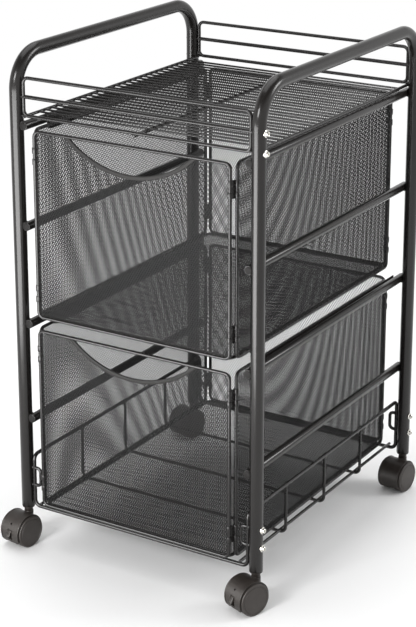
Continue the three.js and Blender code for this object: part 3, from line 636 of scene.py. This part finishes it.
def moulded_skin_group():
    """Skin of a moulded plastic: scuffed lighter patches, an uneven gloss and a fine spark grain."""
    group = bpy.data.node_groups.new("moulded_skin", "ShaderNodeTree")
    sockets = group.interface
    sockets.new_socket("Plastic", in_out="INPUT", socket_type="NodeSocketColor")
    sockets.new_socket("Scuff", in_out="INPUT", socket_type="NodeSocketColor")
    sockets.new_socket("Roughness", in_out="INPUT", socket_type="NodeSocketFloat")
    sockets.new_socket("Fineness", in_out="INPUT", socket_type="NodeSocketFloat")
    sockets.new_socket("Grain", in_out="INPUT", socket_type="NodeSocketFloat")
    sockets.new_socket("Color", in_out="OUTPUT", socket_type="NodeSocketColor")
    sockets.new_socket("Roughness", in_out="OUTPUT", socket_type="NodeSocketFloat")
    sockets.new_socket("Normal", in_out="OUTPUT", socket_type="NodeSocketVector")
    nodes, links = group.nodes, group.links
    entry = nodes.new("NodeGroupInput")
    leave = nodes.new("NodeGroupOutput")
    place = nodes.new("ShaderNodeTexCoord")

    flow = nodes.new("ShaderNodeTexNoise")
    flow.inputs["Scale"].default_value = 90.0
    flow.inputs["Detail"].default_value = 5.0
    links.new(place.outputs["Object"], flow.inputs["Vector"])
    patches = nodes.new("ShaderNodeMapRange")
    patches.inputs["From Min"].default_value = 0.42
    patches.inputs["From Max"].default_value = 0.72
    links.new(flow.outputs["Fac"], patches.inputs["Value"])
    tint = nodes.new("ShaderNodeMix")
    tint.data_type = "RGBA"
    links.new(entry.outputs["Plastic"], tint.inputs["A"])
    links.new(entry.outputs["Scuff"], tint.inputs["B"])
    links.new(patches.outputs["Result"], tint.inputs["Factor"])
    links.new(tint.outputs["Result"], leave.inputs["Color"])

    spark = nodes.new("ShaderNodeTexNoise")
    spark.inputs["Detail"].default_value = 2.0
    links.new(place.outputs["Object"], spark.inputs["Vector"])
    links.new(entry.outputs["Fineness"], spark.inputs["Scale"])
    spread = nodes.new("ShaderNodeMapRange")
    spread.inputs["To Min"].default_value = -0.07
    spread.inputs["To Max"].default_value = 0.12
    links.new(spark.outputs["Fac"], spread.inputs["Value"])
    rough = nodes.new("ShaderNodeMath")
    rough.operation = "ADD"
    links.new(entry.outputs["Roughness"], rough.inputs[0])
    links.new(spread.outputs["Result"], rough.inputs[1])
    links.new(rough.outputs["Value"], leave.inputs["Roughness"])
    bump = nodes.new("ShaderNodeBump")
    bump.inputs["Distance"].default_value = 0.0002
    links.new(entry.outputs["Grain"], bump.inputs["Strength"])
    links.new(spark.outputs["Fac"], bump.inputs["Height"])
    links.new(bump.outputs["Normal"], leave.inputs["Normal"])
    return group


moulded_skin = moulded_skin_group()


def moulded_plastic(name, plastic, scuff, roughness, fineness, grain):
    """Moulded black plastic with the skin above."""
    finish = bpy.data.materials.new(name)
    finish.use_nodes = True
    nodes, links = finish.node_tree.nodes, finish.node_tree.links
    shader = nodes["Principled BSDF"]
    shader.inputs["Metallic"].default_value = 0.0
    shader.inputs["Specular IOR Level"].default_value = 0.45
    skin = nodes.new("ShaderNodeGroup")
    skin.node_tree = moulded_skin
    skin.inputs["Plastic"].default_value = (*plastic, 1.0)
    skin.inputs["Scuff"].default_value = (*scuff, 1.0)
    skin.inputs["Roughness"].default_value = roughness
    skin.inputs["Fineness"].default_value = fineness
    skin.inputs["Grain"].default_value = grain
    links.new(skin.outputs["Color"], shader.inputs["Base Color"])
    links.new(skin.outputs["Roughness"], shader.inputs["Roughness"])
    links.new(skin.outputs["Normal"], shader.inputs["Normal"])
    return finish


hood_plastic = moulded_plastic("hood_plastic", (0.018, 0.0132, 0.0102), (0.026, 0.0207, 0.0172), 0.42, 1600.0, 0.16)
caster_turns = {"left_front": -8, "right_front": -21, "right_rear": -6, "left_rear": -12}
caster_seats = {}
for corner, turn in caster_turns.items():
    side, end = corner.split("_")
    y = front_leg_y if end == "front" else rear_leg_y
    caster_seats[corner] = Matrix.Translation((leg_x[side], y, 0)) @ Matrix.Rotation(math.radians(turn), 4, "Z")
    bm = bmesh.new()
    turned(bm, stem_profile, 40, Matrix.Translation((leg_x[side], y, 0)))
    add_piece(bm, f"{corner}_plug", hood_plastic, "caster_plastic", "frame", f"{corner}_stem")

# Caster wheels. Each is moulded in one: a slightly domed outer disc with a ring groove in its face,
# a groove behind the disc and a smooth tread. It turns on the axle pin inside it.
wheel_radius = 0.0232
caster_trail = 0.0160
wheel_inner = 0.0045
wheel_profile = ((0.0, 0.0162), (0.0080, 0.0161), (0.0150, 0.0159), (0.0186, 0.0157), (0.0190, 0.0152), (0.0196, 0.0152),
                 (0.0200, 0.0157), (0.0216, 0.0156), (0.0224, 0.0154), (0.0230, 0.0149), (0.0232, 0.0143),
                 (0.0231, 0.0138), (0.0226, 0.0136), (0.0214, 0.0135), (0.0214, 0.0123), (0.0226, 0.0122),
                 (0.0231, 0.0119), (0.0232, 0.0112), (0.0232, 0.0014), (0.0228, 0.0004), (0.0219, 0.0),
                 (0.0023, 0.0), (0.0023, 0.0110), (0.0, 0.0110))
wheel_plastic = moulded_plastic("wheel_plastic", (0.031, 0.0252, 0.0218), (0.041, 0.0346, 0.0306), 0.46, 1200.0, 0.12)
for corner, seat in caster_seats.items():
    for hand, sign in (("left", -1), ("right", 1)):
        bm = bmesh.new()
        axle = Matrix.Translation((sign * wheel_inner, -caster_trail, wheel_radius))
        turned(bm, wheel_profile, 64, seat @ axle @ Matrix.Rotation(sign * math.pi / 2, 4, "Y"))
        node = f"{corner}_{hand}_wheel"
        add_piece(bm, f"{corner}_{hand}_disc_wheel", wheel_plastic, "wheel_plastic", node, node)

# Caster hoods. A barrel-shaped fender with beaded edges over both wheels, a web between them and a
# boss on the stem, moulded in one; the front two have a slot for the brake lever and a pin hole.
fender_inner = 0.0236
fender_outer = 0.0248
fender_half_width = 0.0168
fender_round = 0.0005
fender_corner = 0.0060
bead_width = 0.0020
bead_height = 0.0005
web_half = 0.0041
hood_front = math.radians(-35)
hood_back = math.radians(200)
slot_low = math.radians(-22)
slot_high = math.radians(16)
slot_half = 0.0042
pin_hole_low = math.radians(33)
pin_hole_high = math.radians(39)
pin_hole_half = 0.0013
pocket_high = math.radians(42)
boss_radius = 0.0066


def fender_part(bm, left, right, inner, outer, start, stop, steps):
    """A sector of a ring round the axle (X), from one angle above the front to another."""
    corners = ((left, outer), (right, outer), (right, inner), (left, inner))
    verts = [bm.verts.new((x, -radius * math.cos(start), radius * math.sin(start))) for x, radius in corners]
    section = bm.faces.new(verts)
    spun = bmesh.ops.spin(bm, geom=[*verts, *section.edges, section], cent=(0, 0, 0), axis=(-1, 0, 0),
                          angle=stop - start, steps=steps)
    return spun["geom_last"]


for corner, seat in caster_seats.items():
    has_brake = corner.endswith("front")
    bm = bmesh.new()
    if has_brake:
        for start, stop, steps, gap in ((hood_front, slot_low, 6, 0.0), (slot_low, slot_high, 10, slot_half),
                                        (slot_high, pin_hole_low, 6, 0.0), (pin_hole_low, pin_hole_high, 3, pin_hole_half),
                                        (pin_hole_high, hood_back, 40, 0.0)):
            spans = ((-fender_half_width, -gap), (gap, fender_half_width)) if gap else ((-fender_half_width, fender_half_width),)
            for left, right in spans:
                fender_part(bm, left, right, fender_inner, fender_outer, start, stop, steps)
        fender_part(bm, -web_half, web_half, 0.0025, fender_inner + 0.0004, pocket_high, hood_back, 40)
        fender_part(bm, -web_half, web_half, 0.0025, 0.0140, hood_front, pocket_high, 18)
        fender_part(bm, -web_half, web_half, 0.0140, fender_inner + 0.0004, hood_front, slot_low, 6)
    else:
        fender_part(bm, -fender_half_width, fender_half_width, fender_inner, fender_outer, hood_front, hood_back, 56)
        fender_part(bm, -web_half, web_half, 0.0025, fender_inner + 0.0004, hood_front, hood_back, 56)
    for left in (-fender_half_width, fender_half_width - bead_width):
        fender_part(bm, left, left + bead_width, fender_outer - 0.0004, fender_outer + bead_height, hood_front,
                    hood_back, 56)
    rims = [edge for edge in bm.edges if len(edge.link_faces) == 2
            and min(vert.co.yz.length for vert in edge.verts) > fender_outer + bead_height - 1e-5
            and abs(edge.verts[0].co.x - edge.verts[1].co.x) < 1e-6]
    bmesh.ops.bevel(bm, geom=rims, offset=fender_round, offset_type="OFFSET", segments=4, profile=0.5,
                    affect="EDGES", material=-1)
    for vert in bm.verts:
        spare = fender_outer * (math.atan2(vert.co.z, -vert.co.y) - hood_front)
        if abs(vert.co.x) > fender_half_width - bead_width - 1e-4 and 0 <= spare + 1e-6 < fender_corner:
            drawn_in = fender_corner - math.sqrt(fender_corner ** 2 - (fender_corner - max(spare, 0)) ** 2)
            vert.co.x -= math.copysign(drawn_in, vert.co.x)
    bmesh.ops.translate(bm, verts=bm.verts[:], vec=(0, -caster_trail, wheel_radius))

    top = neck_bottom - 0.0003
    base = 0.030
    boss = bmesh.ops.create_cone(bm, cap_ends=True, segments=36, radius1=boss_radius, radius2=boss_radius,
                                 depth=top - base, matrix=Matrix.Translation((0, 0, (top + base) / 2)))["verts"]
    boss_edges = {edge for vert in boss for edge in vert.link_edges}
    foot = list({face for vert in boss for face in vert.link_faces if len(face.verts) > 4 and vert.co.z < top - 1e-4})
    poked = bmesh.ops.poke(bm, faces=foot)["verts"]
    for vert in [vert for vert in boss if vert.co.z < top - 1e-4] + poked:
        reach = vert.co.y + caster_trail
        vert.co.z = wheel_radius + math.sqrt((fender_outer - 0.0008) ** 2 - reach ** 2)
    crown = [edge for edge in boss_edges if min(vert.co.z for vert in edge.verts) > top - 1e-5]
    bmesh.ops.bevel(bm, geom=crown, offset=0.0006, offset_type="OFFSET", segments=3, profile=0.5, affect="EDGES",
                    material=-1)
    bmesh.ops.transform(bm, matrix=seat, verts=bm.verts[:])
    add_piece(bm, f"{corner}_fender", hood_plastic, "caster_plastic", f"{corner}_caster", f"{corner}_hood")

# Caster axles stay as their solids: short plated steel pins inside the hoods.
for corner in caster_turns:
    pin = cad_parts[f"{corner}_axle"]
    pin.data.materials.clear()
    pin.data.materials.append(nickel)

# Brake levers. A moulded foot tab on each front caster pivots in the slot of its hood, with ribs
# across its top for grip.
brake_pivot = Vector((0.0, -caster_trail - 0.0184, wheel_radius + 0.0055))
lever_half = 0.0035
lever_outline = ((0.0, 0.0030), (0.0040, 0.0018), (0.0074, -0.0012), (0.0098, -0.0052), (0.0105, -0.0080),
                 (0.0096, -0.0088), (0.0084, -0.0074), (0.0048, -0.0040), (0.0, -0.0030), (-0.0021, -0.0021),
                 (-0.0030, 0.0), (-0.0021, 0.0021))
for corner in ("left_front", "right_front"):
    bm = bmesh.new()
    verts = [bm.verts.new((-lever_half, -forward, up)) for forward, up in lever_outline]
    section = bm.faces.new(verts)
    pulled = bmesh.ops.extrude_face_region(bm, geom=[section])["geom"]
    bmesh.ops.translate(bm, verts=[item for item in pulled if isinstance(item, bmesh.types.BMVert)],
                        vec=(2 * lever_half, 0, 0))
    rims = [edge for edge in bm.edges if abs(edge.verts[0].co.x - edge.verts[1].co.x) < 1e-6]
    bmesh.ops.bevel(bm, geom=rims, offset=0.0004, offset_type="OFFSET", segments=2, profile=0.5, affect="EDGES",
                    material=-1)
    for forward, up in ((0.0079, -0.0020), (0.0087, -0.0034), (0.0095, -0.0048)):
        seat = Matrix.Translation((0, -forward, up))
        rib = seat @ Matrix.Diagonal((2 * lever_half - 0.0012, 0.0008, 0.0005, 1.0))
        bmesh.ops.create_cube(bm, size=1.0, matrix=rib)
    bmesh.ops.transform(bm, matrix=caster_seats[corner] @ Matrix.Translation(brake_pivot), verts=bm.verts[:])
    add_piece(bm, f"{corner}_brake_lever", hood_plastic, "caster_plastic", f"{corner}_brake", f"{corner}_brake")

# Studio. A plain pale floor that keeps the cart's shadow and turns white away from it, a white
# surround, a broad key light from the front, a rim light, an overhead light, a low card in front
# that only shows as the glints on the coat, and the camera.
def background_rays(nodes, links):
    """One for rays that show the background as it is seen, in a mirror or through glass as well."""
    seen = nodes.new("ShaderNodeLightPath")
    mirrored = nodes.new("ShaderNodeMath")
    mirrored.operation = "MAXIMUM"
    links.new(seen.outputs["Is Glossy Ray"], mirrored.inputs[0])
    links.new(seen.outputs["Is Transmission Ray"], mirrored.inputs[1])
    shown = nodes.new("ShaderNodeMath")
    shown.operation = "MAXIMUM"
    links.new(seen.outputs["Is Camera Ray"], shown.inputs[0])
    links.new(mirrored.outputs["Value"], shown.inputs[1])
    return shown.outputs["Value"]


bm = bmesh.new()
bmesh.ops.create_grid(bm, x_segments=1, y_segments=1, size=30.0)
mesh = bpy.data.meshes.new("studio_floor")
bm.to_mesh(mesh)
bm.free()
floor = bpy.data.objects.new("studio_floor", mesh)
bpy.context.scene.collection.objects.link(floor)
floor_paint = bpy.data.materials.new("studio_floor")
floor_paint.use_nodes = True
nodes, links = floor_paint.node_tree.nodes, floor_paint.node_tree.links
matt = nodes["Principled BSDF"]
matt.inputs["Base Color"].default_value = (0.93, 0.93, 0.93, 1.0)
matt.inputs["Roughness"].default_value = 0.9
matt.inputs["Specular IOR Level"].default_value = 0.1
place = nodes.new("ShaderNodeTexCoord")
distance = nodes.new("ShaderNodeVectorMath")
distance.operation = "LENGTH"
links.new(place.outputs["Object"], distance.inputs[0])
fade = nodes.new("ShaderNodeMapRange")
fade.interpolation_type = "SMOOTHSTEP"
fade.inputs["From Min"].default_value = 0.7
fade.inputs["From Max"].default_value = 2.4
links.new(distance.outputs["Value"], fade.inputs["Value"])
far_off = nodes.new("ShaderNodeMath")
far_off.operation = "MULTIPLY"
links.new(fade.outputs["Result"], far_off.inputs[0])
links.new(background_rays(nodes, links), far_off.inputs[1])
white = nodes.new("ShaderNodeEmission")
choose = nodes.new("ShaderNodeMixShader")
links.new(far_off.outputs["Value"], choose.inputs["Fac"])
links.new(matt.outputs["BSDF"], choose.inputs[1])
links.new(white.outputs["Emission"], choose.inputs[2])
links.new(choose.outputs["Shader"], nodes["Material Output"].inputs["Surface"])
mesh.materials.append(floor_paint)

world = bpy.data.worlds.new("studio_surround")
bpy.context.scene.world = world
world.use_nodes = True
nodes, links = world.node_tree.nodes, world.node_tree.links
surround = nodes["Background"]
surround.inputs["Color"].default_value = (1.0, 1.0, 1.0, 1.0)
surround.inputs["Strength"].default_value = 0.72
backdrop = nodes.new("ShaderNodeBackground")
toward = nodes.new("ShaderNodeTexCoord")
height = nodes.new("ShaderNodeSeparateXYZ")
links.new(toward.outputs["Generated"], height.inputs["Vector"])
ceiling = nodes.new("ShaderNodeMapRange")
ceiling.inputs["From Min"].default_value = 0.35
ceiling.inputs["From Max"].default_value = 0.75
ceiling.inputs["To Min"].default_value = 1.0
ceiling.inputs["To Max"].default_value = 0.15
links.new(height.outputs["Z"], ceiling.inputs["Value"])
links.new(ceiling.outputs["Result"], backdrop.inputs["Color"])
choose = nodes.new("ShaderNodeMixShader")
links.new(background_rays(nodes, links), choose.inputs["Fac"])
links.new(surround.outputs["Background"], choose.inputs[1])
links.new(backdrop.outputs["Background"], choose.inputs[2])
links.new(choose.outputs["Shader"], nodes["World Output"].inputs["Surface"])


def soft_light(name, place, aim, width, height, power):
    """A softbox pointed at the cart, which the camera doesn't see."""
    lamp = bpy.data.lights.new(name, "AREA")
    lamp.shape = "RECTANGLE"
    lamp.size = width
    lamp.size_y = height
    lamp.energy = power
    box = bpy.data.objects.new(name, lamp)
    box.visible_camera = False
    box.location = place
    box.rotation_euler = (Vector(aim) - Vector(place)).to_track_quat("-Z", "Y").to_euler()
    bpy.context.scene.collection.objects.link(box)
    return box


soft_light("key_softbox", (-0.30, -3.40, 2.10), (0, 0, 0.36), 1.1, 1.1, 70.0)
soft_light("rim_softbox", (2.60, 1.90, 1.60), (0, 0, 0.40), 1.0, 1.0, 30.0)
soft_light("overhead_softbox", (-0.60, 0.80, 3.60), (0, 0.6, 0.0), 3.2, 3.2, 60.0)
glint_card = soft_light("glint_card", (-0.17, -0.78, 0.29), (-0.17, 0.0, 0.29), 0.80, 0.58, 14.0)
glint_card.visible_diffuse = False

camera = bpy.data.cameras.new("photo_camera")
camera.sensor_width = 36.0
camera.lens = 1861.8 / 627.0 * 36.0
camera.shift_y = -0.17
viewpoint = bpy.data.objects.new("photo_camera", camera)
azimuth, tilt = math.radians(-31.643), math.radians(-16.936)
gaze = Vector((math.sin(azimuth) * math.cos(tilt), math.cos(azimuth) * math.cos(tilt), math.sin(tilt)))
viewpoint.location = (1.3230 + middle_x, -2.1857 + middle_y, 1.2569)
viewpoint.rotation_euler = gaze.to_track_quat("-Z", "Y").to_euler()
bpy.context.scene.collection.objects.link(viewpoint)
bpy.context.scene.camera = viewpoint
bpy.context.scene.view_settings.view_transform = "Standard"
